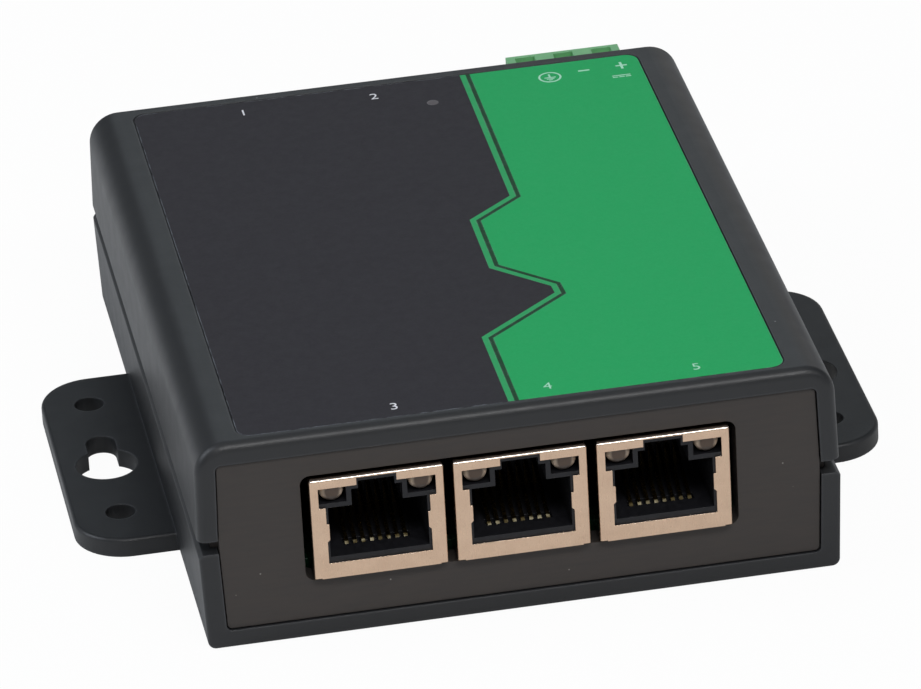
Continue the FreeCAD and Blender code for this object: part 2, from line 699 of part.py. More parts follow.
def jack_shield(number, at, turn):
    """Folded tinned-steel shield: face with the plug and lamp openings, top, sides and back."""
    body = new_body(f"jack_{number}_shield", at, turn)
    half = size["jack_width"] / 2
    sheet_thick = size["shield_thick"]
    pad(body, "XY", 0, size["jack_height"], [rectangle(-half, half, 0, size["jack_depth"])])
    fillet(body, size["shield_bend"], [
        (0, 0, size["jack_height"]),
        (half, size["jack_depth"] / 2, size["jack_height"]),
        (-half, size["jack_depth"] / 2, size["jack_height"]),
        (half, 0, size["jack_height"] / 2),
        (-half, 0, size["jack_height"] / 2),
    ])
    pocket(body, "XY", 0, size["jack_height"] - sheet_thick, [
        rectangle(-half + sheet_thick, half - sheet_thick, sheet_thick,
                  size["jack_depth"] - sheet_thick)])
    mouth = size["mouth_width"] / 2
    finger = mouth - size["finger_reach"]
    bevel = size["finger_reach"]
    pocket(body, "XZ", 0, size["shield_bend"] + size["liner_gap"], [both_sides([
        (mouth, size["mouth_sill"]),
        (mouth, size["finger_low"] - bevel),
        (finger, size["finger_low"]),
        (finger, size["finger_high"]),
        (mouth, size["finger_high"]),
        (mouth, jack_shoulder),
        (size["window_width"] / 2, jack_shoulder),
        (size["window_width"] / 2, window_head),
        (size["notch_width"] / 2, window_head),
        (size["notch_width"] / 2, size["jack_height"] - sheet_thick),
    ])])
    pocket(body, "XZ", 0, size["shield_bend"] + size["liner_gap"], [
        rectangle((half - size["shield_corner_width"]) * side, half * side, 0, size["shield_corner"])
        for side in BOTH])
    tail = size["tail_width"] / 2
    pad(body, "XY", 0, size["tail_length"], [
        rectangle((half - sheet_thick) * side, half * side,
                  size["tail_setback"] - tail, size["tail_setback"] + tail) for side in BOTH], towards=-1)
    return body


def jack_housing(number, at, turn):
    """Moulded socket body: plug cavity with its latch channel, two lamp housings and the pegs."""
    body = new_body(f"jack_{number}_housing", at, turn)
    inset = size["shield_thick"] + size["liner_gap"]
    half = size["jack_width"] / 2 - inset
    top = size["jack_height"] - inset
    pad(body, "XY", 0, top, [rectangle(-half, half, inset, size["jack_depth"] - inset)])
    cavity = size["cavity_width"] / 2
    shoulder = jack_shoulder - size["fit_gap"]
    latch = size["latch_width"] / 2
    pocket(body, "XZ", 0, size["cavity_depth"], [both_sides([
        (cavity, size["cavity_floor"]),
        (cavity, shoulder),
        (latch, shoulder),
        (latch, latch_step),
        (size["latch_narrow"] / 2, latch_step),
        (size["latch_narrow"] / 2, latch_roof),
    ])])
    reach = size["contact_spacing"] * size["contact_count"] / 2
    well_start = size["contact_front"] - size["fit_gap"]
    pocket(body, "XY", size["cavity_floor"], size["contact_well_depth"], [
        rectangle(-reach, reach, well_start, well_start + size["contact_well"])], towards=-1)
    lamp_side = latch + size["lamp_wall"]
    pocket(body, "XZ", 0, size["lamp_setback"] + size["lamp_length"] + size["fit_gap"], [
        rectangle(lamp_side * side, (size["window_width"] / 2 + size["fit_gap"]) * side,
                  shoulder + size["lamp_wall"], top + size["overcut"]) for side in BOTH])
    pad(body, "XY", 0, size["peg_length"], [
        circle(size["peg_spacing"] / 2 * side, size["peg_setback"], size["peg_radius"])
        for side in BOTH], towards=-1)
    return body


def jack_contacts(number, at, turn):
    """Row of gilt contact springs that rise from a well in the plug cavity's floor."""
    body = new_body(f"jack_{number}_contacts", at, turn)
    body.AllowCompound = True
    thick = size["contact_thick"]
    first = -size["contact_spacing"] * (size["contact_count"] - 1) / 2
    spring = pad(body, "YZ", first - size["contact_width"] / 2, size["contact_width"], [corners(
        (size["contact_front"], size["contact_low"] - thick),
        (size["contact_back"], size["contact_high"] - thick),
        (size["contact_back"], size["cavity_floor"]),
        (size["contact_back"] + thick, size["cavity_floor"]),
        (size["contact_back"] + thick, size["contact_high"]),
        (size["contact_back"] - thick, size["contact_high"]),
        (size["contact_front"], size["contact_low"]),
    )])
    return repeat(body, spring, "X", size["contact_spacing"], size["contact_count"])


def jack_lamps(number, at, turn):
    """Pair of clear lamps with domed ends, one each side of the latch channel."""
    body = new_body(f"jack_{number}_lamps", at, turn)
    body.AllowCompound = True
    middle = (size["window_width"] / 2 + size["latch_width"] / 2 + size["lamp_wall"]) / 2
    pad(body, "XZ", size["lamp_setback"], size["lamp_length"], [
        circle(middle * side, lamp_axis, size["lamp_radius"]) for side in BOTH])
    fillet(body, size["lamp_dome"], [
        (middle * side, size["lamp_setback"], lamp_axis + size["lamp_radius"])
        for side in BOTH])
    return body


def terminal_header():
    """Board header with its cavity open to the back."""
    body = new_body("terminal_header")
    left = size["terminal_x"] - header_half
    right = size["terminal_x"] + header_half
    wall = size["header_wall"]
    pad(body, "XY", board_top, size["header_height"], [
        rectangle(left, right, header_front, header_face)])
    pocket(body, "XZ", header_face, size["header_cavity"], [
        rectangle(left + wall, right - wall, board_top + wall, header_top - wall)], towards=-1)
    half_pin = size["pin_size"] / 2
    pocket(body, "XZ", header_front, size["header_depth"], [
        rectangle(pole_x(step) - half_pin, pole_x(step) + half_pin,
                  pin_height - half_pin, pin_height + half_pin) for step in range(poles)])
    return body


def header_pins():
    """Square pins, bent down into the board in front of the header."""
    body = new_body("header_pins")
    body.AllowCompound = True
    half_pin = size["pin_size"] / 2
    tip = header_face - size["header_cavity"] + size["pin_reach"]
    foot = size["board_height"] - size["pin_size"]
    pin = pad(body, "YZ", pole_x(0) - half_pin, size["pin_size"], [corners(
        (pin_y - half_pin, foot),
        (pin_y + half_pin, foot),
        (pin_y + half_pin, pin_height - half_pin),
        (tip, pin_height - half_pin),
        (tip, pin_height + half_pin),
        (pin_y - half_pin, pin_height + half_pin),
    )])
    return repeat(body, pin, "X", size["pole_spacing"], size["pole_count"])


def terminal_plug():
    """Pluggable screw terminal: nose in the header, wire entries behind, screws from above."""
    body = new_body("terminal_plug")
    left = size["terminal_x"] - header_half
    right = size["terminal_x"] + header_half
    pad(body, "XZ", plug_face, size["plug_length"], [
        rectangle(left + size["plug_margin"], right - size["plug_margin"],
                  size["plug_bottom"], size["plug_top"])])
    fillet(body, size["plug_edge"], [
        (size["terminal_x"], plug_rear, size["plug_top"]),
        (size["terminal_x"], plug_rear, size["plug_bottom"]),
    ])
    inset = size["header_wall"] + size["plug_gap"]
    pad(body, "XZ", plug_face, size["plug_nose"], [
        rectangle(left + inset, right - inset, board_top + inset, header_top - inset)], towards=-1)
    half_bore = size["pin_size"] / 2 + size["plug_gap"]
    pin_tip = header_face - size["header_cavity"] + size["pin_reach"]
    nose_tip = plug_face - size["plug_nose"]
    pocket(body, "XZ", nose_tip, pin_tip - nose_tip + size["pin_size"], [
        rectangle(pole_x(step) - half_bore, pole_x(step) + half_bore,
                  pin_height - half_bore, pin_height + half_bore) for step in range(poles)])
    pocket(body, "XZ", plug_rear, size["entry_depth"], [
        rectangle(pole_x(step) - entry_half, pole_x(step) + entry_half,
                  size["entry_height"] - entry_half, size["entry_height"] + entry_half)
        for step in range(poles)], towards=-1)
    pocket(body, "XY", size["plug_top"], size["plug_top"] - size["well_floor"], [
        circle(pole_x(step), well_y, size["well_radius"]) for step in range(poles)], towards=-1)
    pocket(body, "XY", size["plug_top"], size["plug_top"] - size["entry_height"], [
        circle(pole_x(step), well_y, size["clamp_radius"] + size["fit_gap"])
        for step in range(poles)], towards=-1)
    half_marker = size["marker_width"] / 2
    marker_end = plug_rear - size["marker_margin"]
    pocket(body, "XY", size["plug_top"], size["marker_depth"], [
        rectangle(pole_x(step) - half_marker, pole_x(step) + half_marker,
                  marker_end - size["marker_length"], marker_end)
        for step in range(poles)], towards=-1)
    return body


def clamp_cages():
    """Square clamp tubes that the wires enter, one in each pole."""
    body = new_body("clamp_cages")
    body.AllowCompound = True
    outer = entry_half - size["liner_gap"]
    bore = outer - size["cage_wall"]
    low = size["entry_height"] - outer
    high = size["entry_height"] + outer
    start = well_y - size["cage_length"] / 2
    pad(body, "XZ", start, size["cage_length"], [
        rectangle(pole_x(step) - outer, pole_x(step) + outer, low, high)
        for step in range(poles)])
    pocket(body, "XZ", start, size["cage_length"], [
        rectangle(pole_x(step) - bore, pole_x(step) + bore,
                  low + size["cage_wall"], high - size["cage_wall"]) for step in range(poles)])
    pocket(body, "XY", high, size["cage_wall"] + size["overcut"], [
        circle(pole_x(step), well_y, size["clamp_radius"] + size["liner_gap"])
        for step in range(poles)], towards=-1)
    return body


def clamp_screws():
    """Slotted screws at the floor of the wells, threaded into the clamp cages."""
    body = new_body("clamp_screws")
    body.AllowCompound = True
    tip = size["entry_height"] + entry_half - size["liner_gap"] - size["cage_wall"] - size["clamp_reach"]
    pad(body, "XY", size["well_floor"], size["clamp_head_height"], [
        circle(pole_x(step), well_y, size["clamp_head"]) for step in range(poles)])
    pad(body, "XY", size["well_floor"], size["well_floor"] - tip, [
        circle(pole_x(step), well_y, size["clamp_radius"]) for step in range(poles)], towards=-1)
    half_long = size["clamp_head"] + size["fit_gap"]
    half_slot = size["clamp_slot"] / 2
    pocket(body, "XY", size["well_floor"] + size["clamp_head_height"], size["clamp_slot_depth"], [
        rectangle(pole_x(step) - half_long, pole_x(step) + half_long,
                  well_y - half_slot, well_y + half_slot) for step in range(poles)], towards=-1)
    return body


def case_screws():
    """Cross-recessed screws from below, through base and board into the cover's posts."""
    body = new_body("case_screws")
    body.AllowCompound = True
    seat = size["head_sink"]
    pad(body, "XY", seat, size["head_height"], [
        circle(x, y, size["head_radius"]) for x, y in boss_places()], towards=-1)
    pad(body, "XY", seat, size["screw_length"], [
        circle(x, y, size["screw_radius"]) for x, y in boss_places()])
    under = seat - size["head_height"]
    long_half = size["cross_length"] / 2
    short_half = size["cross_width"] / 2
    for half_x, half_y in ((long_half, short_half), (short_half, long_half)):
        pocket(body, "XY", under, size["cross_depth"], [
            rectangle(x - half_x, x + half_x, y - half_y, y + half_y) for x, y in boss_places()])
    return body


def light_pipe():
    """Clear pipe from the power lamp on the board up to the label, hung by its flange."""
    body = new_body("light_pipe")
    foot = board_top + size["power_lamp_tall"] + size["pipe_foot_gap"]
    pad(body, "XY", foot, label_floor - foot, [circle(size["pipe_x"], size["pipe_y"], size["pipe_radius"])])
    pad(body, "XY", ceiling, size["pipe_flange_thick"], [
        circle(size["pipe_x"], size["pipe_y"], size["pipe_flange"])], towards=-1)
    return body


def board_block(name, bevel):
    """A component with a rectangular case, face down on the board."""
    body = new_body(name)
    x, y = size[f"{name}_x"], size[f"{name}_y"]
    half_wide, half_long = size[f"{name}_wide"] / 2, size[f"{name}_long"] / 2
    pad(body, "XY", board_top, size[f"{name}_tall"], [
        rectangle(x - half_wide, x + half_wide, y - half_long, y + half_long)])
    top = board_top + size[f"{name}_tall"]
    places = [(x + half_wide * side, y, top) for side in BOTH]
    places += [(x, y + half_long * side, top) for side in BOTH]
    chamfer(body, as_size(bevel) * size[f"{name}_tall"], places)
    return body


def board_can(name, bevel):
    """A round component, upright on the board."""
    body = new_body(name)
    x, y, radius = size[f"{name}_x"], size[f"{name}_y"], size[f"{name}_wide"] / 2
    pad(body, "XY", board_top, size[f"{name}_tall"], [circle(x, y, radius)])
    fillet(body, as_size(bevel) * radius, [(x - radius, y, board_top + size[f"{name}_tall"])])
    return body


def port_transformer(number, at, turn):
    """Isolating transformer of one socket, on the board behind it."""
    body = new_body(f"port_transformer_{number}", at, turn)
    half_wide = size["transformer_wide"] / 2
    start = size["jack_depth"] + size["transformer_gap"]
    end = start + size["transformer_long"]
    tall = size["transformer_tall"]
    pad(body, "XY", 0, tall, [rectangle(-half_wide, half_wide, start, end)])
    chamfer(body, size["transformer_bevel"], [
        (half_wide * side, (start + end) / 2, tall) for side in BOTH])
    return body


def build():
    """Every piece of the switch, in the order in which it goes together."""
    pieces = [moulded_base(), circuit_board()]
    for number, at, turn in jack_places():
        pieces.append(jack_shield(number, at, turn))
        pieces.append(jack_housing(number, at, turn))
        pieces.append(jack_contacts(number, at, turn))
        pieces.append(jack_lamps(number, at, turn))
        pieces.append(port_transformer(number, at, turn))
    pieces += [board_block(name, bevel) for name, bevel in BLOCKS]
    pieces += [board_can(name, bevel) for name, bevel in CANS]
    pieces += [terminal_header(), header_pins(), terminal_plug(), clamp_cages(), clamp_screws()]
    pieces.append(end_panel("front_panel", [jack_window(as_size(0), 3)], 0))
    terminal_window = (
        size["terminal_x"] - header_half - size["header_gap"],
        size["terminal_x"] + header_half + size["header_gap"],
        board_top - size["header_gap"],
        header_top + size["header_gap"],
    )
    pieces.append(end_panel("back_panel", [jack_window(size["back_jack_x"], 2), terminal_window], 180))
    pieces += [moulded_cover(), light_pipe(), case_screws(), top_label()]
    return pieces


def check_and_write(pieces):
    """Stop at anything that failed, then write one file for each piece."""
    doc.recompute()
    for item in doc.Objects:
        if "Invalid" in item.State or "Error" in item.State:
            raise RuntimeError(f"{item.Name} failed: {item.State}")
    for piece in pieces:
        if piece.Shape.isNull() or not piece.Shape.isValid() or not piece.Shape.Solids:
            raise RuntimeError(f"{piece.Label} has no valid solid")
    os.makedirs("parts", exist_ok=True)
    for piece in pieces:
        piece.Shape.exportStep(f"parts/{piece.Label}.step")
    print(len(pieces), "pieces")


check_and_write(build())
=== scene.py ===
import math

import bmesh
import bpy
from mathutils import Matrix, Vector


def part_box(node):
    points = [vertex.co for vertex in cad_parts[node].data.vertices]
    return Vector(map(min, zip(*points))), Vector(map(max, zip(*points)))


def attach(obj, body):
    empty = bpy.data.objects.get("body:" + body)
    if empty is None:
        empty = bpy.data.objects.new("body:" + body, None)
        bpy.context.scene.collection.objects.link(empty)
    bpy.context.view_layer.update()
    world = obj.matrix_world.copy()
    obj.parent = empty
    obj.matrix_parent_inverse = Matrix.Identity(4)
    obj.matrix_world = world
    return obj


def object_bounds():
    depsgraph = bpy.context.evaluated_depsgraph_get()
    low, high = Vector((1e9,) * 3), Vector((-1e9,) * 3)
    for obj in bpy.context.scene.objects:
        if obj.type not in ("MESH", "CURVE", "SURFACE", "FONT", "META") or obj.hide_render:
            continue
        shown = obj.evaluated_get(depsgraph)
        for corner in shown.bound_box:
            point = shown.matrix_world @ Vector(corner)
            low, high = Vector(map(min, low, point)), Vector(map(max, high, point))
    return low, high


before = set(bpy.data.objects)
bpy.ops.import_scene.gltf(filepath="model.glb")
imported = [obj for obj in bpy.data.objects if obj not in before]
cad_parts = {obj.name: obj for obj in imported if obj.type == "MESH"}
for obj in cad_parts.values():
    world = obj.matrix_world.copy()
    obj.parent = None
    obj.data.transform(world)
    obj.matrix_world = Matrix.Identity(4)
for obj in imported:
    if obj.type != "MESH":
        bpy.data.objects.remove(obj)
cad_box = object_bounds()

MM = 0.001


# ---------------------------------------------------------------------------------------------
# Case: a deep base and a cover, both moulded in black ABS from spark-eroded tools, which leave a
# fine grain. The cover's skirt drops over the base's lip, and an open shadow line stays between
# them. Four screws from below hold the two halves together.

def shade(red, green, blue):
    """A colour given as the eye's 0 to 255 steps, for a shader's socket."""
    steps = (red / 255, green / 255, blue / 255)
    return tuple(s / 12.92 if s < 0.04045 else ((s + 0.055) / 1.055) ** 2.4 for s in steps) + (1.0,)


def add(material, kind, inputs=(), **settings):
    """Add a shader node. Each input is a number, a colour, or the output that feeds it."""
    node = material.node_tree.nodes.new("ShaderNode" + kind)
    for name, value in settings.items():
        setattr(node, name, value)
    for name, value in dict(inputs).items():
        if isinstance(value, bpy.types.NodeSocket):
            material.node_tree.links.new(value, node.inputs[name])
        else:
            node.inputs[name].default_value = value
    return node


def feed(material, name, output):
    """Run an output into one of the material's main shader sockets."""
    shader = material.node_tree.nodes["Principled BSDF"]
    material.node_tree.links.new(output, shader.inputs[name])


def new_finish(name, **values):
    """A material whose main shader has these values."""
    material = bpy.data.materials.new(name)
    material.use_nodes = True
    shader = material.node_tree.nodes["Principled BSDF"]
    for socket, value in values.items():
        shader.inputs[socket.replace("_", " ").title().replace("Ior", "IOR")].default_value = value
    return material


def part_of(material, kind, axis):
    """One axis of the place (Object) or the direction (Normal) of the surface."""
    vector = add(material, "TexCoord").outputs[kind]
    return add(material, "SeparateXYZ", {"Vector": vector}).outputs[axis]


def noise(material, size, detail=2.0, stretch=(1, 1, 1)):
    """Noise with features of about that size in metres, stretched along the axes."""
    place = add(material, "TexCoord").outputs["Object"]
    if stretch != (1, 1, 1):
        shrink = tuple(1 / s for s in stretch)
        place = add(material, "Mapping", {"Vector": place, "Scale": shrink}).outputs["Vector"]
    return add(material, "TexNoise", {"Vector": place, "Scale": 1 / size, "Detail": detail}).outputs["Fac"]


def spread(material, factor, low, high, start=0.3, end=0.7):
    """Spread a noise's middle part over a range of values."""
    return add(material, "MapRange", {
        "Value": factor, "From Min": start, "From Max": end, "To Min": low, "To Max": high,
    }).outputs["Result"]


def mix(material, factor, first, second):
    """Blend two colours, or outputs that give them."""
    return add(material, "MixRGB", {"Fac": factor, "Color1": first, "Color2": second}).outputs["Color"]


def relief(material, height, depth, soften=0.0):
    """Bump of that depth in metres, on edges softened by that radius."""
    inputs = {"Height": height, "Distance": depth}
    if soften:
        inputs["Normal"] = add(material, "Bevel", {"Radius": soften}, samples=4).outputs["Normal"]
    return add(material, "Bump", inputs).outputs["Normal"]


def edge_mask(material, radius):
    """1 on edges, where a highlight is painted, 0 on the flats: how far a rounded normal leaves the true one.
    """
    rounded = add(material, "Bevel", {"Radius": radius}, samples=4).outputs["Normal"]
    true = add(material, "NewGeometry").outputs["Normal"]
    dot = add(material, "VectorMath", {0: rounded, 1: true}, operation="DOT_PRODUCT").outputs["Value"]
    return spread(material, dot, 1.0, 0.0, start=0.86, end=0.995)


def dust(material, spacing, share):
    """1 on a few small specks that lie about that far apart, 0 between them."""
    place = add(material, "TexCoord").outputs["Object"]
    cells = add(material, "TexVoronoi", {"Vector": place, "Scale": 1 / spacing})
    speck = spread(material, cells.outputs["Distance"], 1.0, 0.0, start=0.015, end=0.035)
    kept = spread(material, cells.outputs["Color"], 0.0, 1.0, start=1 - share, end=1 - share + 0.05)
    return add(material, "Math", {0: speck, 1: kept}, operation="MULTIPLY").outputs["Value"]


def dress(material, *nodes):
    """Give CAD nodes a finish."""
    for name in nodes:
        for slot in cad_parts[name].material_slots:
            slot.material = material


case_black = shade(34, 35, 37)
# The lighter grey below is a painted highlight for the case's edges.
case_edge_highlight = shade(60, 61, 64)
case_grain = 0.22 * MM
ear_thick = 2.4 * MM

case_plastic = new_finish("case_plastic", roughness=0.4, specular_ior_level=0.5)
cloudy = spread(case_plastic, noise(case_plastic, 9 * MM, 4), 0.0, 0.35)
body_colour = mix(case_plastic, cloudy, case_black, shade(40, 41, 43))
# Painted highlight: a lighter grey laid on every edge, for the light lines the edges catch.
edge_highlighted = mix(case_plastic, edge_mask(case_plastic, 0.5 * MM), body_colour, case_edge_highlight)
feed(case_plastic, "Base Color", mix(
    case_plastic, dust(case_plastic, 4 * MM, 0.7), edge_highlighted, shade(150, 150, 148)))
feed(case_plastic, "Roughness", spread(case_plastic, noise(case_plastic, 3 * MM, 5), 0.4, 0.45))
# Painted shade: the ears' upward faces reflect less, for the shade that the case throws on them.
low = spread(
    case_plastic, part_of(case_plastic, "Object", "Z"), 1.0, 0.0,
    start=ear_thick + 0.2 * MM, end=ear_thick + 1.6 * MM)
facing_up = spread(case_plastic, part_of(case_plastic, "Normal", "Z"), 0.0, 1.0, start=0.8, end=0.95)
ear_painted_shade = add(case_plastic, "Math", {0: low, 1: facing_up}, operation="MULTIPLY").outputs["Value"]
feed(case_plastic, "Specular IOR Level", spread(case_plastic, ear_painted_shade, 0.5, 0.2, start=0.0, end=1.0))
feed(case_plastic, "Normal", relief(
    case_plastic, noise(case_plastic, case_grain, 3), 0.012 * MM, soften=0.25 * MM))
dress(case_plastic, "bottom_base", "top_cover")


# ---------------------------------------------------------------------------------------------
# End panels: flat plates of warm black ABS, milled for the sockets and the terminal. Their edges
# slide down into slots in the base, and the cover traps them. Their faces carry a faint drag from
# the sheet they were cut from.

panel_plastic = new_finish("panel_plastic", roughness=0.5, specular_ior_level=0.3)
drag = noise(panel_plastic, 0.5 * MM, 3, stretch=(9, 1, 1))
sheet_colour = mix(panel_plastic, spread(panel_plastic, drag, 0.0, 1.0), shade(64, 60, 58), shade(69, 64, 61))
feed(panel_plastic, "Base Color", mix(
    panel_plastic, dust(panel_plastic, 3.5 * MM, 0.7), sheet_colour, shade(150, 146, 140)))
feed(panel_plastic, "Roughness", spread(panel_plastic, drag, 0.46, 0.58))
feed(panel_plastic, "Normal", relief(
    panel_plastic, noise(panel_plastic, 0.18 * MM, 2, stretch=(4, 1, 1)), 0.006 * MM, soften=0.15 * MM))
dress(panel_plastic, "front_panel", "back_panel")


# ---------------------------------------------------------------------------------------------
# Circuit board: glass-epoxy laminate under green solder mask, screwed between the base's bosses
# and the cover's posts. The weave of the glass shows faintly through the mask.

board_laminate = new_finish("board_laminate", roughness=0.3, coat_weight=0.3, coat_roughness=0.2)
weave_place = add(board_laminate, "TexCoord").outputs["Object"]
weave = [
    add(board_laminate, "TexWave", {"Vector": weave_place, "Scale": 380.0, "Distortion": 0.3},
        bands_direction=axis).outputs["Fac"] for axis in ("X", "Y")]
cloth = add(board_laminate, "Math", {0: weave[0], 1: weave[1]}, operation="MULTIPLY").outputs["Value"]
feed(board_laminate, "Base Color", mix(board_laminate, cloth, shade(12, 52, 32), shade(20, 68, 42)))
feed(board_laminate, "Normal", relief(board_laminate, cloth, 0.01 * MM, soften=0.1 * MM))
dress(board_laminate, "main_board")


# ---------------------------------------------------------------------------------------------
# Board parts: moulded black chips with a speckled resin face, a drawn metal crystal can, etched
# aluminium capacitor cans, a grey ferrite choke and a green polymer fuse, all soldered flat on
# the board. The five port transformers are the tall moulded blocks behind the sockets.

chip_resin = new_finish("chip_resin", roughness=0.55)
speckle = noise(chip_resin, 0.12 * MM, 4)
feed(chip_resin, "Base Color", mix(
    chip_resin, spread(chip_resin, speckle, 0.0, 1.0), shade(30, 30, 32), shade(58, 58, 60)))
feed(chip_resin, "Roughness", spread(chip_resin, speckle, 0.48, 0.66))
feed(chip_resin, "Normal", relief(chip_resin, speckle, 0.01 * MM, soften=0.1 * MM))
dress(chip_resin, "switch_chip", "regulator_chip", "input_diode", "surge_suppressor",
      *[f"port_transformer_{number}" for number in range(1, 6)])

can_metal = new_finish("can_metal", metallic=1.0)
draw_lines = noise(can_metal, 0.15 * MM, 3, stretch=(1, 8, 1))
feed(can_metal, "Base Color", mix(
    can_metal, spread(can_metal, noise(can_metal, 2 * MM), 0.0, 1.0),
    shade(196, 196, 192), shade(172, 170, 164)))
feed(can_metal, "Roughness", spread(can_metal, draw_lines, 0.2, 0.4))
feed(can_metal, "Normal", relief(can_metal, draw_lines, 0.004 * MM, soften=0.1 * MM))
dress(can_metal, "crystal")

can_aluminium = new_finish("can_aluminium", metallic=1.0)
turning = noise(can_aluminium, 0.2 * MM, 3, stretch=(1, 1, 12))
feed(can_aluminium, "Base Color", mix(
    can_aluminium, spread(can_aluminium, turning, 0.0, 1.0), shade(206, 208, 210), shade(186, 188, 190)))
feed(can_aluminium, "Roughness", spread(can_aluminium, turning, 0.28, 0.45))
feed(can_aluminium, "Normal", relief(can_aluminium, turning, 0.004 * MM, soften=0.15 * MM))
dress(can_aluminium, "input_capacitor", "output_capacitor")

ferrite = new_finish("ferrite", roughness=0.6)
pores = noise(ferrite, 0.3 * MM, 6)
feed(ferrite, "Base Color", mix(
    ferrite, spread(ferrite, pores, 0.0, 1.0), shade(52, 52, 54), shade(92, 92, 92)))
feed(ferrite, "Normal", relief(ferrite, pores, 0.03 * MM, soften=0.15 * MM))
dress(ferrite, "power_inductor")

fuse_polymer = new_finish("fuse_polymer", roughness=0.45)
smear = noise(fuse_polymer, 0.8 * MM, 3)
feed(fuse_polymer, "Base Color", mix(
    fuse_polymer, spread(fuse_polymer, smear, 0.0, 1.0), shade(34, 92, 58), shade(46, 116, 74)))
feed(fuse_polymer, "Normal", relief(fuse_polymer, smear, 0.01 * MM, soften=0.1 * MM))
dress(fuse_polymer, "input_fuse")


# ---------------------------------------------------------------------------------------------
# Sockets: each is a black moulded body with its row of gilt springs, two clear lamps above the
# plug's mouth, and a folded shield of tinned steel round it, which stands just proud of the panel.

def outward(material):
    """Distance from the case's middle, towards either end."""
    along = part_of(material, "Object", "Y")
    return add(material, "Math", {0: along}, operation="ABSOLUTE").outputs["Value"]


shield_steel = new_finish("shield_steel", metallic=1.0)
roll_lines = noise(shield_steel, 0.12 * MM, 4, stretch=(1, 1, 14))
patches = noise(shield_steel, 2.5 * MM, 3)
tinned = mix(
    shield_steel, spread(shield_steel, patches, 0.0, 1.0), shade(233, 201, 173), shade(223, 191, 164))
# Painted highlight: the shield's upward faces and top bend are near white, for the light they catch from
# above.
bend = spread(shield_steel, part_of(shield_steel, "Normal", "Z"), 0.0, 1.0, start=0.2, end=0.5)
painted_top_highlight = mix(shield_steel, bend, tinned, shade(255, 240, 227))
# Painted shade: behind its front face the shield is dark brown, for the shade the panel casts inside the
# opening.
face_back = 46.4 * MM
near_face = spread(
    shield_steel, outward(shield_steel), 0.0, 1.0, start=face_back, end=face_back + 0.2 * MM)
feed(shield_steel, "Base Color", mix(shield_steel, near_face, shade(70, 54, 42), painted_top_highlight))
roll_gloss = spread(shield_steel, roll_lines, 0.2, 0.3)
feed(shield_steel, "Roughness", spread(shield_steel, bend, roll_gloss, 0.12, start=0.0, end=1.0))
feed(shield_steel, "Normal", relief(shield_steel, roll_lines, 0.003 * MM, soften=0.06 * MM))

socket_plastic = new_finish("socket_plastic", roughness=0.42, specular_ior_level=0.35)
gloss_spots = noise(socket_plastic, 0.6 * MM, 4)
feed(socket_plastic, "Base Color", mix(
    socket_plastic, spread(socket_plastic, gloss_spots, 0.0, 1.0), shade(24, 24, 27), shade(33, 33, 37)))
feed(socket_plastic, "Roughness", spread(socket_plastic, gloss_spots, 0.34, 0.5))
feed(socket_plastic, "Normal", relief(
    socket_plastic, noise(socket_plastic, 0.2 * MM, 3), 0.006 * MM, soften=0.08 * MM))

contact_gilding = new_finish("contact_gilding")
plating = noise(contact_gilding, 0.3 * MM, 3)
# Painted highlight: the tips vary between bright and dull by noise, for the glints on some of the front
# bends.
glint_variation = spread(contact_gilding, noise(contact_gilding, 1.1 * MM, 1), 0.0, 1.0, start=0.3, end=0.55)
gold = mix(contact_gilding, glint_variation, shade(236, 224, 186), shade(112, 99, 66))
# Painted shade and highlight: behind their tips the springs are dark brown, for the shade inside the socket;
# the tips are pale and mostly matt, for the glint on their bends.
tip_back = 43.75 * MM
painted_lit_tip = spread(
    contact_gilding, outward(contact_gilding), 0.0, 1.0, start=tip_back, end=tip_back + 0.2 * MM)
feed(contact_gilding, "Base Color", mix(contact_gilding, painted_lit_tip, shade(92, 76, 42), gold))
feed(contact_gilding, "Metallic", spread(contact_gilding, painted_lit_tip, 1.0, 0.2, start=0.0, end=1.0))
feed(contact_gilding, "Roughness", spread(contact_gilding, plating, 0.2, 0.32))

lamp_resin = new_finish("lamp_resin", roughness=0.3, transmission_weight=0.4, ior=1.5)
haze = noise(lamp_resin, 0.5 * MM, 3)
# Painted highlight and shade: the lamps are pale on their upper flanks, for the light they catch there, and
# brown to grey-brown in the middle and lower down, for the shade in the lens.
lens = mix(lamp_resin, spread(lamp_resin, haze, 0.0, 1.0), shade(255, 232, 205), shade(240, 212, 184))
sideways = part_of(lamp_resin, "Normal", "X")
sideways = add(lamp_resin, "Math", {0: sideways}, operation="ABSOLUTE").outputs["Value"]
flank = spread(lamp_resin, sideways, 0.0, 1.0, start=0.2, end=0.7)
lamp_waist = 18.4 * MM
upper = spread(
    lamp_resin, part_of(lamp_resin, "Object", "Z"), 0.0, 1.0, start=lamp_waist, end=lamp_waist + 0.6 * MM)
lit = add(lamp_resin, "Math", {0: flank, 1: upper}, operation="MULTIPLY").outputs["Value"]
painted_lens_shade = mix(lamp_resin, upper, shade(74, 66, 60), shade(98, 78, 62))
feed(lamp_resin, "Base Color", mix(lamp_resin, lit, painted_lens_shade, lens))
feed(lamp_resin, "Normal", relief(lamp_resin, haze, 0.01 * MM))

for number in range(1, 6):
    dress(shield_steel, f"jack_{number}_shield")
    dress(socket_plastic, f"jack_{number}_housing")
    dress(contact_gilding, f"jack_{number}_contacts")
    dress(lamp_resin, f"jack_{number}_lamps")


# ---------------------------------------------------------------------------------------------
# Power terminal: a header on the board and the plug pushed into it, both moulded in green
# polyamide. Tinned brass pins and cages carry the current, and slotted steel screws clamp the
# wires from above.

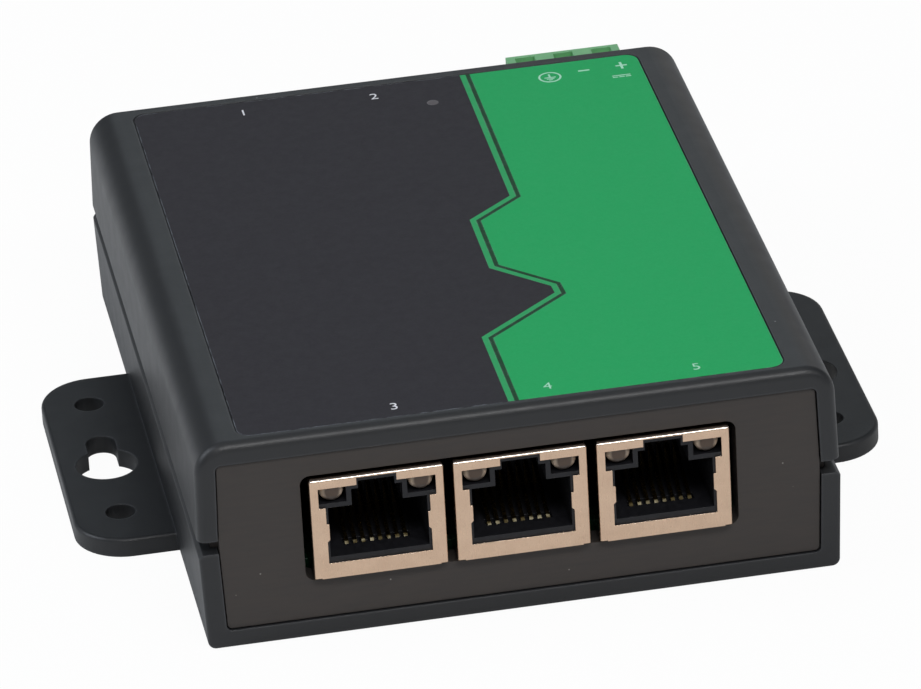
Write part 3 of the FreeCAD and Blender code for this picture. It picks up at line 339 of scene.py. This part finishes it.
terminal_plastic = new_finish(
    "terminal_plastic", roughness=0.42, subsurface_weight=0.12,
    subsurface_radius=(0.5 * MM, 1.0 * MM, 0.6 * MM), subsurface_scale=1.0)
flow = noise(terminal_plastic, 2.0 * MM, 4)
feed(terminal_plastic, "Base Color", mix(
    terminal_plastic, spread(terminal_plastic, flow, 0.0, 1.0), shade(112, 177, 122), shade(126, 189, 134)))
feed(terminal_plastic, "Roughness", spread(terminal_plastic, flow, 0.36, 0.48))
feed(terminal_plastic, "Normal", relief(
    terminal_plastic, noise(terminal_plastic, 0.25 * MM, 3), 0.008 * MM, soften=0.15 * MM))
dress(terminal_plastic, "terminal_header", "terminal_plug")

tinned_brass = new_finish("tinned_brass", metallic=1.0)
tin_cloud = noise(tinned_brass, 0.8 * MM, 4)
feed(tinned_brass, "Base Color", mix(
    tinned_brass, spread(tinned_brass, tin_cloud, 0.0, 1.0), shade(212, 206, 194), shade(190, 180, 160)))
feed(tinned_brass, "Roughness", spread(tinned_brass, tin_cloud, 0.24, 0.42))
feed(tinned_brass, "Normal", relief(tinned_brass, tin_cloud, 0.004 * MM, soften=0.08 * MM))
dress(tinned_brass, "header_pins", "clamp_cages")

screw_steel = new_finish("screw_steel", metallic=1.0)
scuff = noise(screw_steel, 0.25 * MM, 4, stretch=(5, 1, 1))
feed(screw_steel, "Base Color", mix(
    screw_steel, spread(screw_steel, scuff, 0.0, 1.0), shade(188, 188, 186), shade(160, 160, 158)))
feed(screw_steel, "Roughness", spread(screw_steel, scuff, 0.26, 0.44))
feed(screw_steel, "Normal", relief(screw_steel, scuff, 0.005 * MM, soften=0.1 * MM))
dress(screw_steel, "clamp_screws", "case_screws")


# ---------------------------------------------------------------------------------------------
# Power light: a chip lamp on the board shines up a clear acrylic pipe that hangs under the roof,
# to the small window in the label.

clear_resin = new_finish("clear_resin", roughness=0.12, transmission_weight=0.85, ior=1.49)
ripple = noise(clear_resin, 1.5 * MM, 2)
feed(clear_resin, "Base Color", mix(
    clear_resin, spread(clear_resin, ripple, 0.0, 1.0), shade(236, 238, 238), shade(250, 250, 250)))
feed(clear_resin, "Normal", relief(clear_resin, ripple, 0.01 * MM))
dress(clear_resin, "light_pipe", "power_lamp")


# ---------------------------------------------------------------------------------------------
# Label: a polyester film with a fine velvet grain, die cut with round corners and pressed into
# its pocket in the cover. It is printed with a charcoal field, a green field with a stepped edge,
# the ports' numbers, and the signs for earth, minus, plus and direct current.

label_low, label_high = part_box("top_label")
film_top = label_high.z
ink_thick = 0.012 * MM


def film(name, first, second):
    """The label's film, in one printed ink."""
    material = new_finish(name, roughness=0.55, specular_ior_level=0.2)
    velvet = noise(material, 0.3 * MM, 3)
    ink = mix(material, spread(material, velvet, 0.0, 1.0), first, second)
    # Painted highlight: a pale bluish line, broken up by noise, along the film's cut edges, for the light
    # they catch.
    cut = edge_mask(material, 0.22 * MM)
    painted_edge_glint = add(material, "Math", {
        0: cut, 1: spread(material, noise(material, 1.6 * MM, 4), 0.0, 0.9, start=0.42, end=0.58),
    }, operation="MULTIPLY").outputs["Value"]
    feed(material, "Base Color", mix(material, painted_edge_glint, ink, shade(150, 156, 164)))
    feed(material, "Roughness", spread(material, noise(material, 1.2 * MM, 3), 0.5, 0.56))
    feed(material, "Normal", relief(material, velvet, 0.008 * MM, soften=0.05 * MM))
    return material


charcoal_ink = film("charcoal_ink", shade(43, 41, 46), shade(49, 47, 52))
green_ink = film("green_ink", shade(29, 167, 94), shade(35, 172, 99))
light_line_ink = film("light_line_ink", shade(44, 162, 96), shade(52, 168, 102))
dark_line_ink = film("dark_line_ink", shade(22, 64, 40), shade(27, 70, 44))
white_ink = film("white_ink", shade(236, 236, 241), shade(246, 246, 250))
pale_ink = film("pale_ink", shade(172, 232, 200), shade(186, 242, 212))
dress(charcoal_ink, "top_label")


def flat_piece(name, outlines, bottom, material):
    """A thin closed piece from outlines in millimetres: points, and holes' points after them."""
    mesh = bmesh.new()
    for outer, *holes in outlines:
        edges = []
        for outline in (outer, *holes):
            corners = [mesh.verts.new((x * MM, y * MM, bottom)) for x, y in outline]
            edges += [mesh.edges.new((a, b)) for a, b in zip(corners, corners[1:] + corners[:1])]
        bmesh.ops.triangle_fill(mesh, edges=edges, use_beauty=True, normal=(0, 0, 1))
    raised = bmesh.ops.extrude_face_region(mesh, geom=list(mesh.faces))
    risen = [item for item in raised["geom"] if isinstance(item, bmesh.types.BMVert)]
    bmesh.ops.translate(mesh, verts=risen, vec=(0, 0, ink_thick))
    bmesh.ops.recalc_face_normals(mesh, faces=mesh.faces)
    data = bpy.data.meshes.new(name)
    mesh.to_mesh(data)
    mesh.free()
    data.materials.append(material)
    piece = bpy.data.objects.new(name, data)
    bpy.context.scene.collection.objects.link(piece)
    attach(piece, "root")


def shift(points, sideways):
    """An open line of points, moved to the right by a distance square to itself."""
    moved = []
    for index, (x, y) in enumerate(points):
        before = Vector(points[max(index - 1, 0)])
        after = Vector(points[min(index + 1, len(points) - 1)])
        here = Vector((x, y))
        normals = []
        for start, end in ((before, here), (here, after)):
            run = end - start
            if run.length > 0:
                normals.append(Vector((-run.y, run.x)).normalized())
        middle = sum(normals, Vector((0, 0))).normalized()
        moved.append(tuple(here + middle * sideways / middle.dot(normals[0])))
    return moved


# The stepped edge runs from the label's back edge to its front edge. A pale line follows it on
# the charcoal side, then a dark one, then the green field.
ink_margin = 0.02
label_front = label_low.y / MM + ink_margin
label_back = label_high.y / MM - ink_margin
label_side = label_high.x / MM - ink_margin
label_corner = 1.7
stepped_edge = [
    (-0.6, label_front), (-0.7, -27.9), (10.0, -18.9), (9.9, -17.0),
    (3.5, -10.3), (3.55, 3.2), (9.6, 8.4), (9.75, label_back),
]
line_wide = 0.75
gap_wide = 0.55


def trimmed(points):
    """The line with its two ends cut square on the label's front and back edges."""
    ends = []
    for near, far, level in ((points[1], points[0], label_front), (points[-2], points[-1], label_back)):
        share = (level - near[1]) / (far[1] - near[1])
        ends.append((near[0] + (far[0] - near[0]) * share, level))
    return [ends[0], *points[1:-1], ends[1]]


pale_left = trimmed(stepped_edge)
pale_right = trimmed(shift(stepped_edge, -line_wide))
dark_right = trimmed(shift(stepped_edge, -line_wide - gap_wide))


ink_corner = label_corner - ink_margin
corner_steps = 8


def rounded_corner(x, y, start):
    """A quarter circle round a corner of the label."""
    angles = [math.radians(start + 90 * step / corner_steps) for step in range(corner_steps + 1)]
    return [(x + ink_corner * math.cos(angle), y + ink_corner * math.sin(angle)) for angle in angles]


front_corner = rounded_corner(label_side - ink_corner, label_front + ink_corner, -90)
back_corner = rounded_corner(label_side - ink_corner, label_back - ink_corner, 0)
green_outline = dark_right[::-1] + front_corner + back_corner
flat_piece("pale_line", [(pale_left + pale_right[::-1],)], film_top, light_line_ink)
flat_piece("dark_line", [(pale_right + dark_right[::-1],)], film_top, dark_line_ink)
flat_piece("green_field", [(green_outline,)], film_top, green_ink)


def block(x, y, wide, tall):
    """A rectangle about its middle."""
    return [(x - wide / 2, y - tall / 2), (x + wide / 2, y - tall / 2),
            (x + wide / 2, y + tall / 2), (x - wide / 2, y + tall / 2)]


def ring(x, y, radius, count=40):
    """A circle's points."""
    return [(x + radius * math.cos(math.tau * step / count),
             y + radius * math.sin(math.tau * step / count)) for step in range(count)]


signs_top = film_top + ink_thick
earth_x, earth_y, earth_radius = 20.9, 40.4, 1.5
signs = [
    (ring(earth_x, earth_y, earth_radius), ring(earth_x, earth_y, earth_radius - 0.26)[::-1]),
    (block(earth_x, earth_y + 0.45, 0.26, 0.85),),
    (block(earth_x, earth_y - 0.1, 1.5, 0.24),),
    (block(earth_x, earth_y - 0.48, 1.0, 0.22),),
    (block(earth_x, earth_y - 0.84, 0.5, 0.2),),
    (block(25.5, 41.15, 1.5, 0.34),),
    (block(30.45, 41.3, 1.5, 0.34),),
    (block(30.45, 41.88, 0.34, 0.82),),
    (block(30.45, 40.72, 0.34, 0.82),),
    (block(29.9, 38.45, 2.4, 0.22),),
] + [(block(29.9 + 0.85 * step, 38.0, 0.7, 0.22),) for step in (-1, 0, 1)]
flat_piece("terminal_signs", signs, signs_top, pale_ink)


def numeral(number, x, y, tall, ink):
    """A port's number in a plain face, standing with its foot at that place."""
    curve = bpy.data.curves.new(f"port_{number}_outline", "FONT")
    curve.body = str(number)
    curve.align_x = "CENTER"
    curve.size = tall * MM / 0.7
    shape = bpy.data.objects.new(f"port_{number}_shape", curve)
    data = bpy.data.meshes.new_from_object(shape)
    bpy.data.objects.remove(shape)
    mesh = bmesh.new()
    mesh.from_mesh(data)
    raised = bmesh.ops.extrude_face_region(mesh, geom=list(mesh.faces))
    risen = [item for item in raised["geom"] if isinstance(item, bmesh.types.BMVert)]
    bmesh.ops.translate(mesh, verts=risen, vec=(0, 0, ink_thick))
    bmesh.ops.recalc_face_normals(mesh, faces=mesh.faces)
    bmesh.ops.translate(mesh, verts=mesh.verts, vec=(x * MM, y * MM, signs_top))
    mesh.to_mesh(data)
    mesh.free()
    data.name = f"port_{number}_number"
    data.materials.clear()
    data.materials.append(ink)
    piece = bpy.data.objects.new(data.name, data)
    bpy.context.scene.collection.objects.link(piece)
    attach(piece, "root")


numeral_tall = 1.6
for number, x, y in ((1, -19.0, 40.4), (2, -2.0, 40.4), (3, -13.9, -43.1)):
    numeral(number, x, y, numeral_tall, white_ink)
for number, x, y in ((4, 4.6, -43.0), (5, 22.6, -43.0)):
    numeral(number, x, y, numeral_tall, pale_ink)

window_radius = 0.75
window_ink = film("window_ink", shade(92, 88, 90), shade(104, 100, 102))
flat_piece("power_window", [(ring(5.0, 37.3, window_radius),)], film_top, window_ink)


# ---------------------------------------------------------------------------------------------
# Studio: a pale sweep that shows white, a faint box overhead, the key box high in front, a broad
# one on the left and a small one on the right, two low ones behind and a weak card in front. A
# long lens looks down on the front left of the case.

floor_mesh = bpy.data.meshes.new("floor")
reach = 6.0
floor_mesh.from_pydata(
    [(-reach, -reach, 0), (reach, -reach, 0), (reach, reach, 0), (-reach, reach, 0)], [], [(0, 1, 2, 3)])
floor = bpy.data.objects.new("floor", floor_mesh)
floor.location.z = cad_box[0][2] - 0.02 * MM
bpy.context.scene.collection.objects.link(floor)

floor_paint = bpy.data.materials.new("floor_paint")
floor_paint.use_nodes = True
floor_paint.node_tree.nodes.clear()
paper = add(floor_paint, "BsdfDiffuse", {"Color": (0.86, 0.86, 0.86, 1)})
glow = add(floor_paint, "Emission", {"Color": (1, 1, 1, 1), "Strength": 1.0})
seen = add(floor_paint, "LightPath").outputs["Is Camera Ray"]
part_seen = add(floor_paint, "Math", {0: seen, 1: 0.96}, operation="MULTIPLY").outputs["Value"]
blend = add(floor_paint, "MixShader", {0: part_seen, 1: paper.outputs[0], 2: glow.outputs[0]})
add(floor_paint, "OutputMaterial", {"Surface": blend.outputs[0]})
floor_mesh.materials.append(floor_paint)

world = bpy.data.worlds.new("studio")
bpy.context.scene.world = world
world.use_nodes = True
world.node_tree.nodes.clear()
soft = add(world, "Background", {"Color": (0.88, 0.94, 1.0, 1), "Strength": 0.15})
white = add(world, "Background", {"Color": (1, 1, 1, 1), "Strength": 1.0})
seen = add(world, "LightPath").outputs["Is Camera Ray"]
both = add(world, "MixShader", {0: seen, 1: soft.outputs[0], 2: white.outputs[0]})
add(world, "OutputWorld", {"Surface": both.outputs[0]})


def soft_box(name, place, wide, tall, power, tint=(1, 1, 1)):
    """A rectangular lamp that faces the case."""
    light = bpy.data.lights.new(name, "AREA")
    light.shape = "RECTANGLE"
    light.size = wide
    light.size_y = tall
    light.energy = power
    light.color = tint
    lamp = bpy.data.objects.new(name, light)
    lamp.location = place
    lamp.rotation_euler = (Vector((0, 0, 0.01)) - Vector(place)).to_track_quat("-Z", "Y").to_euler()
    bpy.context.scene.collection.objects.link(lamp)


soft_box("top_box", (0.0, 0.2, 1.0), 0.8, 0.5, 0.6)
soft_box("key_box", (0.1, -0.65, 0.87), 0.7, 0.24, 5.0)
soft_box("left_box", (-0.9, 0.1, 0.7), 0.5, 0.8, 5.5, tint=(0.86, 0.92, 1.0))
soft_box("right_box", (0.8, -0.5, 0.7), 0.5, 0.5, 0.7)
soft_box("back_box", (0.15, 1.2, 0.74), 0.8, 0.2, 0.9, tint=(0.84, 0.94, 1.0))
soft_box("low_box", (0.55, 1.1, 0.28), 0.5, 0.3, 0.35, tint=(1.0, 0.97, 0.94))
soft_box("front_card", (-0.2, -1.1, 0.35), 0.9, 0.4, 0.5, tint=(1.0, 0.95, 0.9))

camera_data = bpy.data.cameras.new("camera")
camera_data.lens = 280.509
camera_data.sensor_width = 36.0
camera = bpy.data.objects.new("camera", camera_data)
camera.location = (-0.12029, -0.78133, 0.42763)
camera.rotation_euler = tuple(math.radians(angle) for angle in (62.215, 2.864, -10.334))
bpy.context.scene.collection.objects.link(camera)
bpy.context.scene.camera = camera

bpy.context.scene.view_settings.view_transform = "Standard"
